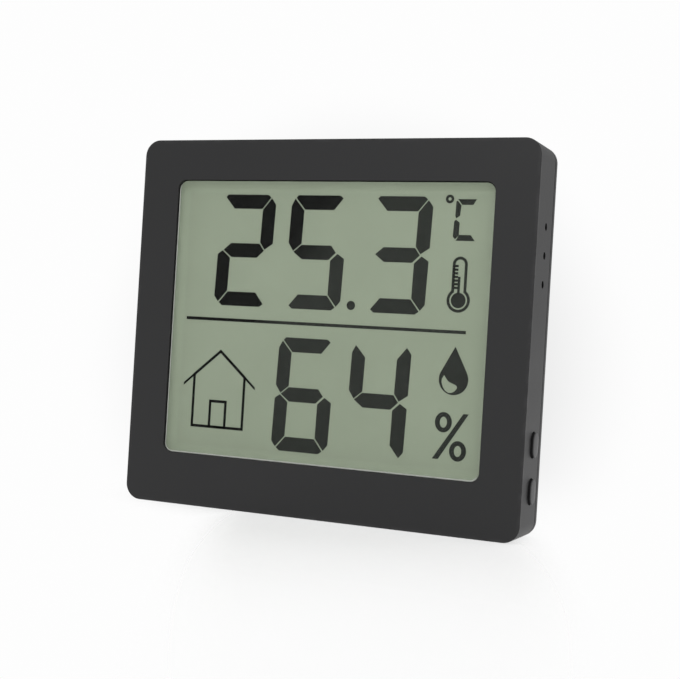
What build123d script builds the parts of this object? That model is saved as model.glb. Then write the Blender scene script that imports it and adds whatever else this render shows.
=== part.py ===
from build123d import *

import os
from math import cos, radians, sin

# Pocket indoor thermometer and hygrometer: a flat moulded case with a liquid crystal display, two side
# buttons, three air vents, a coin-cell door and a fold-out leg at the back.
# Frame: X to the right as the display is read, Y from the front to the back, Z up. The origin is the
# middle of the underside. All sizes are in millimetres.

# Case
case_width = 62.0
case_height = 54.8
case_depth = 9.0
corner_radius = 2.4
edge_chamfer = 0.25
side_wall = 1.5
front_wall = 1.2
rear_wall = 1.2
parting_groove = 0.1
parting_inset = 0.25
fit_gap = 0.1
overrun = 1.0

# Window in the front wall
side_border = 6.1
top_border = 6.0
bottom_border = 7.7
window_radius = 1.4
window_lip = 0.4

# Display, from the front to the back
tape_thickness = 0.1
tape_setback = 0.25
lens_thickness = 0.5
lens_margin = 0.9
lens_rise = 0.25
lens_rise_gap = 0.12
lens_chamfer = 0.08
polarizer_thickness = 0.12
polarizer_margin = 0.5
glass_thickness = 0.4
reflector_thickness = 0.14
contact_ledge = 2.4
bracket_thickness = 1.2
bracket_rim = 2.2
bracket_rib = 1.6
zebra_height = 1.6
zebra_inset = 1.8
zebra_gap = 0.15

# Main board
board_thickness = 0.8
board_gap = 0.3
board_radius = 0.8
board_boss_share = 0.43
pilot_radius = 0.6
board_screw_head_radius = 1.25
board_screw_head = 0.7
board_screw_length = 2.4

# Case screws and their posts
case_screw_inset = 9.0
post_radius = 1.5
post_gap = 0.1
post_joint = 1.6
screw_radius = 0.8
screw_clearance = 0.1
screw_bite = 3.2
screw_head_radius = 1.5
screw_head = 0.9
screw_head_gap = 0.15
screw_head_depth = 0.1

# Hooks at the top of the rear cover
hook_inset = 13.0
hook_width = 6.0
hook_height = 0.4
hook_thickness = 0.5
hook_clearance = 0.1

# Rear cover
cover_lip = 1.0
cover_lip_depth = 1.1

# Air vents in the right wall
vent_radius = 0.5
vent_pitch = 3.97
vent_count = 3
vent_drop = 15.6

# Side buttons
button_length = 3.5
button_width = 2.4
button_proud = 0.5
button_chamfer = 0.2
button_clearance = 0.12
button_travel = 0.3
button_pitch = 6.4
lower_button_height = 6.8
flange_margin = 0.6
flange_thickness = 0.8
flange_gap = 0.1

# Push switches behind the buttons
switch_length = 4.0
switch_reach = 2.9
switch_tall = 1.6
switch_cover = 0.2
plunger_length = 1.4
plunger_width = 0.8
plunger_out = 1.2
plunger_in = 0.2
plunger_clearance = 0.08

# Coin cell, its well and its contacts
cell_radius = 10.0
cell_thickness = 3.2
cell_cap_radius = 8.2
cell_cap_rise = 0.25
cell_chamfer = 0.3
cell_drop = 15.8
cell_gap = 0.05
rib_clearance = 0.15
rib_width = 1.2
rib_count = 6
rib_top_gap = 0.2
well_wall = 0.9
well_clearance = 0.6
contact_sheet = 0.15
contact_width = 4.0
contact_foot = 1.4
contact_reach = 5.0
contact_bend_share = 0.62

# Battery door
door_skirt_gap = 0.25
door_skirt = 0.5
door_rim = 0.85
door_thickness = 0.95
door_setback = 0.05
door_clearance = 0.1
door_seat_gap = 0.05
door_chamfer = 0.2
ledge_thickness = 0.7
lug_count = 3
lug_angle = 30.0
lug_reach = 0.8
lug_thickness = 0.7
lug_clearance = 0.1
notch_margin = 2.0
stop_angle = 4.0
door_turn = 35.0
coin_slot_length = 13.0
coin_slot_width = 1.9
coin_slot_depth = 0.5

# Fold-out leg and its recess
leg_width = 30.0
leg_tip_width = 26.0
leg_foot_height = 2.8
leg_thickness = 1.6
leg_barrel_radius = 1.0
leg_heel = 1.2
leg_radius = 2.0
leg_setback = 0.05
leg_gap = 0.3
leg_floor_gap = 0.35
leg_web = 0.9
leg_open = 25.0
leg_stop_gap = 0.02
leg_pocket_depth = 0.6
leg_pocket_rim = 1.5
leg_notch_radius = 3.0
trunnion_radius = 0.55
trunnion_length = 0.9
trunnion_clearance = 0.07
tub_floor = 1.0
tub_wall = 0.8

# Holding magnets
magnet_radius = 4.0
magnet_thickness = 1.5
magnet_ring = 0.9

# Parts on the board
chip_blob_radius = 4.5
chip_blob_height = 1.1
chip_blob_slope_shares = (0.75, 2.0)
chip_blob_shares = (-0.65, 0.36)
sensor_size = 2.5
sensor_tall = 0.9
sensor_port = 1.0
sensor_inset = 1.2
crystal_radius = 1.0
crystal_length = 6.0
crystal_shares = (-0.72, 0.18)
chip_long = 1.6
chip_short = 0.8
chip_tall = 0.8
chip_band = 0.3
chip_band_share = 0.25
chip_pitch = 2.4
capacitor_shares = (0.68, 0.36)
capacitor_count = 5
resistor_shares = (-0.2, 0.15)
resistor_count = 6
resistor_tall = 0.45

# Depths, from the front face to the back face
front_face = -case_depth / 2
back_face = case_depth / 2
inner_front = front_face + front_wall
cover_front = back_face - rear_wall
shell_back = cover_front - parting_groove
lip_back = front_face + window_lip
lens_front = lip_back + tape_thickness
lens_back = lens_front + lens_thickness
polarizer_back = lens_back + polarizer_thickness
cell_plane = polarizer_back + glass_thickness
rear_glass_back = cell_plane + glass_thickness
reflector_back = rear_glass_back + reflector_thickness
board_front = reflector_back + bracket_thickness
board_back = board_front + board_thickness
board_screw_tip = board_back - board_screw_length
post_top = cover_front - post_joint

# Outlines seen from the front
inner_half_width = case_width / 2 - side_wall
inner_top = case_height - side_wall
window_width = case_width - 2 * side_border
window_bottom = bottom_border
window_top = case_height - top_border
display_half_width = window_width / 2 + lens_margin
display_bottom = window_bottom - contact_ledge - polarizer_margin
display_top = window_top + lens_margin
rear_glass_bottom = window_bottom - polarizer_margin
board_edge = side_wall + board_gap
board_half_width = case_width / 2 - board_edge
side_bay = inner_half_width - display_half_width
board_boss_x = (inner_half_width + display_half_width) / 2
board_boss_radius = side_bay * board_boss_share
board_boss_height = (display_bottom + display_top) / 2
vent_height = case_height - vent_drop
post_height = side_wall + post_radius + post_gap

# Buttons and switches, from the wall inwards
wall_inside = inner_half_width
flange_outside = wall_inside - flange_gap
flange_inside = flange_outside - flange_thickness
switch_face = flange_inside - plunger_out
switch_axis_y = board_back + switch_tall / 2
button_heights = {
    "lower": lower_button_height,
    "upper": lower_button_height + button_pitch,
}

# Coin cell and door
door_back = back_face - door_setback
door_front = door_back - door_thickness
cell_back = door_front - cell_gap
cell_front = cell_back - cell_thickness
skirt_inner = cell_radius + door_skirt_gap
skirt_outer = skirt_inner + door_skirt
ledge_inner = skirt_outer + door_clearance
door_radius = skirt_outer + door_rim
well_radius = door_radius + door_clearance
ledge_back = door_front - door_seat_gap
ledge_front = ledge_back - ledge_thickness
lug_back = ledge_front - lug_clearance
lug_front = lug_back - lug_thickness
rib_back = lug_front - rib_top_gap
well_front = board_back + well_clearance
cell_height = case_height - cell_drop
magnet_x = (well_radius + well_wall + inner_half_width) / 2

# Leg
leg_back = back_face - leg_setback
leg_front = leg_back - leg_thickness
pivot_y = leg_back - leg_barrel_radius
tub_back = pivot_y - leg_barrel_radius - leg_floor_gap
heel_rise = leg_barrel_radius * sin(radians(leg_open)) + leg_heel * cos(radians(leg_open)) + leg_stop_gap
leg_pivot_height = cell_height - well_radius - well_wall - leg_web - heel_rise


def slab(outline, front, back):
    """An outline drawn in x and z, made solid between two depths."""
    return extrude(Plane.XZ.offset(-back) * outline, back - front)


def span(x0, x1, z0, z1):
    """A rectangle between two places across and two heights."""
    return Pos((x0 + x1) / 2, (z0 + z1) / 2) * Rectangle(abs(x1 - x0), abs(z1 - z0))


def rounded_span(x0, x1, z0, z1, radius):
    """The same rectangle with round corners."""
    return Pos((x0 + x1) / 2, (z0 + z1) / 2) * RectangleRounded(abs(x1 - x0), abs(z1 - z0), radius)


def disc(radius, front, back, x=0, z=0):
    """A round solid whose axis runs from the front to the back."""
    return slab(Pos(x, z) * Circle(radius), front, back)


def ring(inner, outer, front, back, x=0, z=0):
    """A round wall whose axis runs from the front to the back."""
    return slab(Pos(x, z) * (Circle(outer) - Circle(inner)), front, back)


def sector(inner, outer, centre, width):
    """A piece of a flat ring, width degrees wide about the angle centre."""
    half = width / 2
    start, end = centre - half, centre + half

    def at(radius, angle):
        return (radius * cos(radians(angle)), radius * sin(radians(angle)))

    edge = [
        ThreePointArc(at(outer, start), at(outer, centre), at(outer, end)),
        Line(at(outer, end), at(inner, end)),
        ThreePointArc(at(inner, end), at(inner, centre), at(inner, start)),
        Line(at(inner, start), at(outer, start)),
    ]
    return make_face(edge)


def along_x(outline, x0, x1):
    """An outline drawn in y and z, made solid between two places across."""
    return extrude(Plane.YZ.offset(x0) * outline, x1 - x0)


def case_outline(inset=0):
    """The case seen from the front, drawn in by inset."""
    radius = max(corner_radius - inset, edge_chamfer)
    return rounded_span(-case_width / 2 + inset, case_width / 2 - inset, inset, case_height - inset, radius)


def front_edges(part):
    """The edges of a part that lie furthest forward."""
    return part.edges().group_by(Axis.Y)[0]


def back_edges(part):
    """The edges of a part that lie furthest back."""
    return part.edges().group_by(Axis.Y)[-1]


def display_outline(inset=0, bottom=display_bottom):
    """The display glass seen from the front, cut square and drawn in by inset."""
    half = display_half_width - inset
    return span(-half, half, bottom + inset, display_top - inset)


def button_outline(margin=0):
    """A long round-ended outline in y and z about its own middle, upright."""
    return Rot(0, 0, 90) * SlotOverall(button_length + 2 * margin, button_width + 2 * margin)


def case_screw_places():
    """The two case screws, below the display."""
    x = case_width / 2 - case_screw_inset
    return [(side * x, post_height) for side in (-1, 1)]


def board_boss_places():
    """The two board screws, one each side."""
    return [(side * board_boss_x, board_boss_height) for side in (-1, 1)]


def cover_hooks(margin=0):
    """The two hooks on the cover's lip, grown by margin for the pockets that they snap into."""
    lip_top = inner_top - fit_gap
    back = cover_front - cover_lip_depth / 2
    hooks = []
    for side in (-1, 1):
        x = side * (case_width / 2 - hook_inset)
        half = hook_width / 2 + margin
        tooth = span(x - half, x + half, lip_top - fit_gap, lip_top + hook_height + margin)
        hooks.append(slab(tooth, back - hook_thickness - margin, back + margin))
    return hooks


def front_case():
    """Front wall and side walls in one moulding, with the window, the screw posts and the side holes."""
    shell = slab(case_outline(), front_face, shell_back)
    shell = chamfer(front_edges(shell), edge_chamfer)
    shell -= slab(case_outline(side_wall), inner_front, shell_back + overrun)
    # A shallow step round the rim makes the parting line against the rear cover
    rim = case_outline() - case_outline(parting_inset)
    shell -= slab(rim, shell_back - parting_groove, shell_back + overrun)
    for x, z in case_screw_places():
        shell += disc(post_radius, inner_front - fit_gap, post_top, x, z)
        shell -= disc(screw_radius, post_top - screw_bite, post_top + overrun, x, z)
    for x, z in board_boss_places():
        shell += disc(board_boss_radius, inner_front - fit_gap, board_front, x, z)
        shell -= disc(pilot_radius, board_screw_tip, board_front + overrun, x, z)
    window = rounded_span(-window_width / 2, window_width / 2, window_bottom, window_top, window_radius)
    shell -= slab(window, front_face - overrun, inner_front + overrun)
    shell -= slab(display_outline(-fit_gap), lip_back, inner_front + overrun)
    shell -= cover_hooks(hook_clearance)
    for row in range(vent_count):
        z = vent_height + (row - (vent_count - 1) / 2) * vent_pitch
        shell -= along_x(Pos(0, z) * Circle(vent_radius), wall_inside - overrun, case_width / 2 + overrun)
    for z in button_heights.values():
        hole = Pos(0, z) * button_outline(button_clearance)
        shell -= along_x(hole, wall_inside - overrun, case_width / 2 + overrun)
    return shell


def window_lens():
    """The lens: a plate behind the lip and a raised middle with bevelled edges in the opening."""
    middle = rounded_span(
        -window_width / 2 + lens_rise_gap,
        window_width / 2 - lens_rise_gap,
        window_bottom + lens_rise_gap,
        window_top - lens_rise_gap,
        window_radius - lens_rise_gap,
    )
    raised = slab(middle, lens_front - lens_rise, lens_front)
    raised = chamfer(front_edges(raised), lens_chamfer)
    return slab(display_outline(), lens_front, lens_back) + raised


def display_parts():
    """The window lens and the display behind it, layer by layer."""
    tape_inside = span(
        -window_width / 2 - tape_setback,
        window_width / 2 + tape_setback,
        window_bottom - tape_setback,
        window_top + tape_setback,
    )
    polarizer = span(
        -window_width / 2 - polarizer_margin,
        window_width / 2 + polarizer_margin,
        window_bottom - polarizer_margin,
        window_top + polarizer_margin,
    )
    rear_outline = display_outline(0, rear_glass_bottom)
    return {
        "lens_tape": slab(display_outline() - tape_inside, lip_back, lens_front),
        "window_lens": window_lens(),
        "front_polarizer": slab(polarizer, lens_back, polarizer_back),
        "lcd_front_glass": slab(display_outline(), polarizer_back, cell_plane),
        "lcd_rear_glass": slab(rear_outline, cell_plane, rear_glass_back),
        "rear_reflector": slab(rear_outline, rear_glass_back, reflector_back),
    }


zebra_bottom = display_bottom + (contact_ledge - zebra_height) / 2
zebra_top = zebra_bottom + zebra_height
zebra_half = display_half_width - zebra_inset


def zebra_strip():
    """The rubber strip that joins the glass's lower ledge to the board."""
    return slab(span(-zebra_half, zebra_half, zebra_bottom, zebra_top), cell_plane, board_front)


def lcd_bracket():
    """The moulded frame that presses the display forward, with a slot that holds the rubber strip."""
    middle_bottom = rear_glass_bottom + bracket_rim
    middle_top = display_top - bracket_rim
    half = display_half_width - bracket_rim
    plate = display_outline()
    plate -= span(-half, -bracket_rib / 2, middle_bottom, middle_top)
    plate -= span(bracket_rib / 2, half, middle_bottom, middle_top)
    plate -= span(
        -zebra_half - zebra_gap,
        zebra_half + zebra_gap,
        zebra_bottom - zebra_gap,
        zebra_top + zebra_gap,
    )
    return slab(plate, reflector_back, board_front)


def main_board():
    """The circuit board, cut away for the screw posts and the button flanges."""
    outline = rounded_span(
        -board_half_width,
        board_half_width,
        board_edge,
        case_height - board_edge,
        board_radius,
    )
    corner_cut = post_radius + post_gap + board_gap
    for x, z in case_screw_places():
        outline -= Pos(x, z) * Rectangle(2 * corner_cut, 2 * corner_cut)
    flange_half = button_length / 2 + flange_margin + board_gap
    notch_bottom = button_heights["lower"] - flange_half
    notch_top = button_heights["upper"] + flange_half
    outline -= span(switch_face, case_width / 2, notch_bottom, notch_top)
    for x, z in board_boss_places():
        outline -= Pos(x, z) * Circle(pilot_radius)
    return slab(outline, board_front, board_back)


def screw(shank_radius, head_radius, head, tip, seat):
    """A pan-head screw whose head rests at the depth seat."""
    body = disc(shank_radius, tip, seat)
    return body + disc(head_radius, seat, seat + head)


def case_screws():
    """The screws that hold the rear cover to the posts."""
    seat = back_face - screw_head - screw_head_depth
    one = screw(screw_radius, screw_head_radius, screw_head, post_top - screw_bite, seat)
    return [Pos(x, 0, z) * one for x, z in case_screw_places()]


def board_screws():
    """The screws that hold the board to its bosses."""
    one = screw(pilot_radius, board_screw_head_radius, board_screw_head, board_screw_tip, board_back)
    return [Pos(x, 0, z) * one for x, z in board_boss_places()]


def leg_outline(margin=0):
    """The leg seen from the back, below its pivot, grown by margin."""
    top = leg_width / 2 + margin
    foot = leg_tip_width / 2 + margin
    tip = leg_foot_height - margin
    corners = [(-top, leg_pivot_height), (-foot, tip), (foot, tip), (top, leg_pivot_height)]
    outline = make_face(Polyline(*corners, close=True))
    low = outline.vertices().sort_by(Axis.Y)[:2]
    return fillet(low, leg_radius + margin)


def stand_leg():
    """The fold-out leg with its trunnions, its heel and the notch for a fingertip."""
    half = leg_width / 2
    flap = slab(leg_outline(), leg_front, leg_back)
    heel = Pos(leg_barrel_radius / 2, leg_heel / 2) * Rectangle(leg_barrel_radius, leg_heel)
    barrel = Circle(leg_barrel_radius) + heel
    leg = flap + along_x(Pos(pivot_y, leg_pivot_height) * barrel, -half, half)
    pin = Pos(pivot_y, leg_pivot_height) * Circle(trunnion_radius)
    leg += along_x(pin, -half - trunnion_length, half + trunnion_length)
    leg -= disc(leg_notch_radius, leg_front - overrun, leg_back + overrun, 0, leg_foot_height)
    pocket_top = leg_pivot_height - leg_barrel_radius - leg_pocket_rim
    pocket_foot = leg_foot_height + leg_notch_radius + leg_pocket_rim
    inside = leg_tip_width / 2 - leg_pocket_rim
    pocket = rounded_span(-inside, inside, pocket_foot, pocket_top, leg_radius / 2)
    leg -= slab(pocket, leg_front - overrun, leg_front + leg_pocket_depth)
    return leg


def leg_recess():
    """The space that the leg folds into, with the stop above its heel and the holes for its trunnions."""
    half = leg_width / 2 + leg_gap
    outline = leg_outline(leg_gap) + span(-half, half, leg_pivot_height, leg_pivot_height + heel_rise)
    space = slab(outline, tub_back, back_face + overrun)
    reach = leg_width / 2 + trunnion_length + leg_gap
    hole = Pos(pivot_y, leg_pivot_height) * Circle(trunnion_radius + trunnion_clearance)
    return space + along_x(hole, -reach, reach)


def leg_tub():
    """The wall behind the recess, inside the case."""
    half = leg_width / 2 + leg_gap + tub_wall
    top = leg_pivot_height + heel_rise + tub_floor
    outline = leg_outline(leg_gap + tub_wall) + span(-half, half, leg_pivot_height, top)
    return slab(outline, tub_back - tub_floor, cover_front + fit_gap)


def lug_angles():
    """Where the door's lugs stand when it is locked."""
    return [90 + 360 * k / lug_count for k in range(lug_count)]


def door_well():
    """The round wall for the cell and the door, with the ledge that the lugs turn under."""
    well = ring(well_radius, well_radius + well_wall, well_front, cover_front + fit_gap)
    well += ring(ledge_inner, well_radius + fit_gap, ledge_front, ledge_back)
    for angle in lug_angles():
        notch = sector(ledge_inner - fit_gap, well_radius, angle - door_turn, lug_angle + 2 * notch_margin)
        well -= slab(notch, ledge_front - overrun, ledge_back + overrun)
        beyond = (lug_angle + stop_angle) / 2 + notch_margin
        for place in (angle + beyond, angle - door_turn - beyond):
            stop = sector(skirt_outer + door_clearance, well_radius + fit_gap, place, stop_angle)
            well += slab(stop, lug_front, ledge_front + fit_gap)
    for k in range(rib_count):
        rib = Pos((cell_radius + rib_clearance + well_radius + fit_gap) / 2, 0) * Rectangle(
            well_radius + fit_gap - cell_radius - rib_clearance, rib_width
        )
        turned = Rot(0, 0, 360 * (k + 1 / 2) / rib_count) * rib
        well += slab(turned, well_front, rib_back)
    return Pos(0, 0, cell_height) * well


def rear_cover():
    """The back plate with its lip, screw bosses, cell well, leg recess and magnet rings."""
    plate = slab(case_outline(), cover_front, back_face)
    plate = chamfer(back_edges(plate), edge_chamfer)
    lip_outline = case_outline(side_wall + fit_gap) - case_outline(side_wall + fit_gap + cover_lip)
    cover = plate + slab(lip_outline, cover_front - cover_lip_depth, cover_front + fit_gap)
    for x, z in case_screw_places():
        cover += disc(post_radius, post_top, cover_front + fit_gap, x, z)
    cover += cover_hooks()
    cover += leg_tub()
    cover -= leg_recess()
    cover -= disc(well_radius, ledge_back, back_face + overrun, 0, cell_height)
    cover -= disc(ledge_inner, cover_front - overrun, ledge_back + fit_gap, 0, cell_height)
    cover += door_well()
    head_seat = back_face - screw_head - screw_head_depth
    for x, z in case_screw_places():
        cover -= disc(screw_radius + screw_clearance, post_top - overrun, back_face, x, z)
        cover -= disc(screw_head_radius + screw_head_gap, head_seat, back_face + overrun, x, z)
    for side in (-1, 1):
        inner = magnet_radius + fit_gap
        outer = inner + magnet_ring
        front = cover_front - magnet_thickness
        cover += ring(inner, outer, front, cover_front + fit_gap, side * magnet_x, cell_height)
    return cover


def holding_magnets():
    """Two disc magnets glued inside the back plate."""
    front = cover_front - magnet_thickness
    return [disc(magnet_radius, front, cover_front, side * magnet_x, cell_height) for side in (-1, 1)]


def battery_door():
    """The round door with its skirt, its lugs and the coin slot."""
    door = disc(door_radius, door_front, door_back)
    door = chamfer(back_edges(door), door_chamfer)
    door += ring(skirt_inner, skirt_outer, lug_front, door_front + fit_gap)
    for angle in lug_angles():
        lug = sector(skirt_outer - fit_gap, skirt_outer + lug_reach, angle, lug_angle)
        door += slab(lug, lug_front, lug_back)
    slot = SlotOverall(coin_slot_length, coin_slot_width)
    door -= slab(slot, door_back - coin_slot_depth, door_back + overrun)
    return Pos(0, 0, cell_height) * door


def coin_cell():
    """The coin cell: its can and the smaller cap that faces the board."""
    cap_back = cell_front + cell_cap_rise
    can = disc(cell_radius, cap_back, cell_back)
    can = chamfer(back_edges(can), cell_chamfer)
    return Pos(0, 0, cell_height) * (can + disc(cell_cap_radius, cell_front, cap_back + fit_gap))


def strip(points, width):
    """A bent strip of contact sheet: its side view is drawn in x and y, its width runs along z."""
    side = trace(Polyline(*points), contact_sheet)
    return Pos(0, 0, -width / 2) * extrude(side, width)


def negative_contact():
    """The sprung tongue on the board that presses on the cell's cap."""
    half_sheet = contact_sheet / 2
    low = board_back + half_sheet
    high = cell_front - half_sheet
    points = [
        (-contact_reach, low),
        (0, low),
        (contact_reach * contact_bend_share, high),
        (contact_reach, low + (high - low) * contact_bend_share),
    ]
    return Pos(0, 0, cell_height) * strip(points, contact_width)


def positive_contact():
    """The clip on the board that bears on the side of the can."""
    half_sheet = contact_sheet / 2
    low = board_back + half_sheet
    wall_x = -cell_radius - half_sheet
    points = [(wall_x - contact_foot, low), (wall_x, low), (wall_x, rib_back)]
    return Pos(0, 0, cell_height) * strip(points, contact_width)


def button(height):
    """One key cap: a round-ended cap and the flange that keeps it in its hole."""
    outside = case_width / 2 + button_proud
    cap = along_x(button_outline(), flange_outside - fit_gap, outside)
    cap = chamfer(cap.faces().sort_by(Axis.X)[-1].edges(), button_chamfer)
    flange = along_x(button_outline(flange_margin), flange_inside, flange_outside)
    return Pos(0, 0, height) * (cap + flange)


def plunger(height):
    """The push switch's own actuator, which moves with the key cap."""
    outline = Pos(switch_axis_y, height) * Rectangle(plunger_width, plunger_length)
    return along_x(outline, switch_face - plunger_in, flange_inside)


def switch_body(height):
    """One push switch on the back of the board, with the pocket that its plunger runs in."""
    outline = Pos(switch_axis_y, height) * Rectangle(switch_tall, switch_length)
    body = along_x(outline, switch_face - switch_reach, switch_face)
    wide = plunger_width + 2 * plunger_clearance
    tall = plunger_length + 2 * plunger_clearance
    pocket = Pos(switch_axis_y, height) * Rectangle(wide, tall)
    depth = plunger_in + button_travel + switch_cover
    return body - along_x(pocket, switch_face - depth, switch_face + overrun)


def board_place(shares):
    """A place on the board, from shares of its half width and of its height."""
    across, up = shares
    return across * board_half_width, board_edge + up * (case_height - 2 * board_edge)


def controller_blob():
    """The epoxy drop over the controller chip."""
    x, z = board_place(chip_blob_shares)
    drop = disc(chip_blob_radius, board_back, board_back + chip_blob_height, x, z)
    rise, run = (share * chip_blob_height for share in chip_blob_slope_shares)
    return chamfer(back_edges(drop), rise, run)


def humidity_sensor():
    """The air sensor beside the vents, with its open port."""
    x = board_half_width - sensor_inset - sensor_size / 2
    top = board_back + sensor_tall
    body = slab(Pos(x, vent_height) * Rectangle(sensor_size, sensor_size), board_back, top)
    return body - disc(sensor_port / 2, top - sensor_tall / 2, top + overrun, x, vent_height)


def crystal_can():
    """The clock crystal, lying on the board."""
    x, z = board_place(crystal_shares)
    return Pos(x, board_back + crystal_radius, z) * Cylinder(crystal_radius, crystal_length)


def chip_row(shares, count, tall):
    """A row of chip parts, each with a raised band of solder metal at both ends."""
    x0, z0 = board_place(shares)
    top = board_back + tall
    chips = []
    for k in range(count):
        x = x0 + (k - (count - 1) / 2) * chip_pitch
        body = slab(Pos(x, z0) * Rectangle(chip_short, chip_long), board_back, top - chip_band * chip_band_share)
        for end in (-1, 1):
            z = z0 + end * (chip_long - chip_band) / 2
            body += slab(Pos(x, z) * Rectangle(chip_short, chip_band), board_back, top)
        chips.append(body)
    return chips


def all_parts():
    """Every piece by its name. A list is a group of separate solids."""
    parts = {
        "front_case": front_case(),
        **display_parts(),
        "zebra_strip": zebra_strip(),
        "lcd_bracket": lcd_bracket(),
        "main_board": main_board(),
        "board_screws": board_screws(),
        "controller_blob": controller_blob(),
        "humidity_sensor": humidity_sensor(),
        "crystal_can": crystal_can(),
        "chip_capacitors": chip_row(capacitor_shares, capacitor_count, chip_tall),
        "chip_resistors": chip_row(resistor_shares, resistor_count, resistor_tall),
        "negative_contact": negative_contact(),
        "positive_contact": positive_contact(),
        "coin_cell": coin_cell(),
        "rear_cover": rear_cover(),
        "case_screws": case_screws(),
        "holding_magnets": holding_magnets(),
        "battery_door": battery_door(),
        "stand_leg": stand_leg(),
    }
    for name, height in button_heights.items():
        parts[f"{name}_button"] = button(height)
        parts[f"{name}_plunger"] = plunger(height)
        parts[f"{name}_switch"] = switch_body(height)
    return parts


def main():
    os.makedirs("parts", exist_ok=True)
    for name, shape in all_parts().items():
        solid = Compound(children=shape) if isinstance(shape, list) else shape
        export_step(solid, os.path.join("parts", f"{name}.step"))


main()
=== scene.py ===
import math
import bmesh
import bpy
from mathutils import Euler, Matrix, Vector


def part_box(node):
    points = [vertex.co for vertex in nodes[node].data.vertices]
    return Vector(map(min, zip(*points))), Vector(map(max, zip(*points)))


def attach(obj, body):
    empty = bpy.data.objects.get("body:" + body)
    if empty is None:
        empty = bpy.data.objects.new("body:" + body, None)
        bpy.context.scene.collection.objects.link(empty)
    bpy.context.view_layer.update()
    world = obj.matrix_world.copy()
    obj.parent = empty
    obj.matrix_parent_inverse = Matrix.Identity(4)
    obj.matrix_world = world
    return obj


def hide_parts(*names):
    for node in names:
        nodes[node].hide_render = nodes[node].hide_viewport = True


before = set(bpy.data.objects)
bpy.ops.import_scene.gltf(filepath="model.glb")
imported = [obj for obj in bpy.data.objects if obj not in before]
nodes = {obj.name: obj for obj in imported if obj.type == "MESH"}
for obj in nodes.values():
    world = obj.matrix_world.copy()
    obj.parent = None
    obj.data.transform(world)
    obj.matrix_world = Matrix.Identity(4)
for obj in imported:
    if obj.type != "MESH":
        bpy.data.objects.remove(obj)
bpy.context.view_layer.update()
print("frame loaded:", len(nodes), "nodes")

mm = 0.001  # sizes below are in millimetres, scales of textures per metre
touch = 0.01  # places nearer than this count as the same


# mesh helpers

def shift(point):
    return Vector(point) * mm


def linked(mesh, name):
    piece = bpy.data.objects.new(name, mesh)
    bpy.context.scene.collection.objects.link(piece)
    return piece


def plainPiece(bm, name):
    mesh = bpy.data.meshes.new(name)
    bm.to_mesh(mesh)
    bm.free()
    return linked(mesh, name)


def meshPiece(bm, name):
    bmesh.ops.remove_doubles(bm, verts=bm.verts, dist=1e-7)
    bmesh.ops.recalc_face_normals(bm, faces=bm.faces)
    return plainPiece(bm, name)


def settle(piece):
    # the evaluated result becomes a plain mesh
    graph = bpy.context.evaluated_depsgraph_get()
    mesh = bpy.data.meshes.new_from_object(piece.evaluated_get(graph), depsgraph=graph)
    old = piece.data
    piece.modifiers.clear()
    piece.data = mesh
    mesh.name = piece.name
    bpy.data.meshes.remove(old)
    return piece


def cornerRing(box, radius, depth, steps):
    # a rounded rectangle seen from the front, as points at one depth
    x0, x1, z0, z1 = box
    ring = []
    corners = ((x1 - radius, z0 + radius), (x1 - radius, z1 - radius),
               (x0 + radius, z1 - radius), (x0 + radius, z0 + radius))
    for turn, (cx, cz) in enumerate(corners):
        for k in range(steps + 1):
            angle = math.radians(90 * (turn - 1 + k / steps))
            ring.append((cx + radius * math.cos(angle), depth, cz + radius * math.sin(angle)))
    return ring


def circleRing(cx, cz, radius, depth, steps):
    angles = [2 * math.pi * k / steps for k in range(steps)]
    return [(cx + radius * math.cos(angle), depth, cz + radius * math.sin(angle)) for angle in angles]


def slotRing(x, height, half, radius, steps):
    # a round-ended upright outline at one place across
    ring = []
    for turn, cz in ((0, height + half), (180, height - half)):
        for k in range(steps + 1):
            angle = math.radians(turn + 180 * k / steps)
            ring.append((x, radius * math.cos(angle), cz + radius * math.sin(angle)))
    return ring


def grown(box, amount):
    x0, x1, z0, z1 = box
    return (x0 - amount, x1 + amount, z0 - amount, z1 + amount)


def loft(bm, rings, closed=False, caps=False):
    # faces from each ring of points to the next
    made = [[bm.verts.new(shift(point)) for point in ring] for ring in rings]
    pairs = list(zip(made, made[1:])) + ([(made[-1], made[0])] if closed else [])
    for low, high in pairs:
        for k in range(len(low)):
            n = (k + 1) % len(low)
            bm.faces.new((low[k], low[n], high[n], high[k]))
    if caps:
        bm.faces.new(made[0])
        bm.faces.new(made[-1])


def lofted(name, rings):
    # a solid through the rings, with flat ends
    bm = bmesh.new()
    loft(bm, rings, caps=True)
    return meshPiece(bm, name)


def roundEdges(piece, width, segments, test, turn=18):
    # bevels the edges that turn by more than an angle and whose two ends pass the test, given in millimetres
    bm = bmesh.new()
    bm.from_mesh(piece.data)
    weight = bm.edges.layers.float.new("bevel_weight_edge")
    for edge in bm.edges:
        sharp = len(edge.link_faces) == 2 and edge.calc_face_angle(0) > math.radians(turn)
        if sharp and test(edge.verts[0].co / mm, edge.verts[1].co / mm):
            edge[weight] = 1
    bm.to_mesh(piece.data)
    bm.free()
    bevel = piece.modifiers.new("edges", "BEVEL")
    bevel.limit_method = "WEIGHT"
    bevel.width = width * mm
    bevel.segments = segments
    bevel.use_clamp_overlap = False
    bevel.miter_outer = "MITER_ARC"
    settle(piece)


def smooth(piece, angle=35):
    for face in piece.data.polygons:
        face.use_smooth = True
    piece.data.set_sharp_from_angle(angle=math.radians(angle))
    weighted = piece.modifiers.new("shading", "WEIGHTED_NORMAL")
    weighted.keep_sharp = True
    weighted.weight = 80
    return settle(piece)


def cut(piece, cutter):
    boolean = piece.modifiers.new("cut", "BOOLEAN")
    boolean.operation = "DIFFERENCE"
    boolean.solver = "EXACT"
    boolean.use_self = True
    boolean.object = cutter
    settle(piece)
    mesh = cutter.data
    bpy.data.objects.remove(cutter)
    bpy.data.meshes.remove(mesh)


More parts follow.
